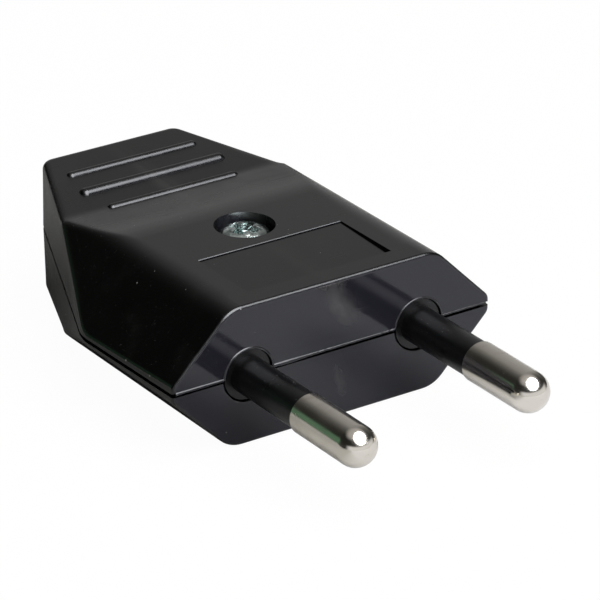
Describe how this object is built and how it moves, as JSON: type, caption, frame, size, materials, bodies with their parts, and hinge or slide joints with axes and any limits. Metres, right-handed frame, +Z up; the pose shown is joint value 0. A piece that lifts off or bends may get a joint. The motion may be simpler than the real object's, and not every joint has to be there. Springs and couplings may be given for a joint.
{
  "type": "two-pin plug",
  "caption": "Flat rewirable mains plug: black split housing with finger grips, joined by a screw, round sleeved contact pins, with inner terminals and a cord clamp.",
  "frame": {"origin": "on the engagement face, midway between the pins, on the parting plane of the two shells", "axes": "+X across the pins, to the right when the pins point at the viewer and the screw is on top; +Y from the engagement face to the cord inlet; +Z up through the thickness, on the side of the screw"},
  "size_m": [0.036, 0.0585, 0.014],
  "materials": {
    "housing": "glossy black moulded plastic",
    "sleeve": "satin black moulded sleeve",
    "contact": "polished nickel plating on brass",
    "screw": "bright zinc plating",
    "clamp": "black moulded plastic"
  },
  "bodies": {
    "root": {"upper_shell": "housing", "lower_shell": "housing", "pin_left": "contact", "pin_right": "contact", "sleeve_left": "sleeve", "sleeve_right": "sleeve", "housing_screw": "screw", "terminal_screw_left": "screw", "terminal_screw_right": "screw", "cord_clamp": "clamp", "clamp_screw_left": "screw", "clamp_screw_right": "screw"}
  },
  "joints": []
}
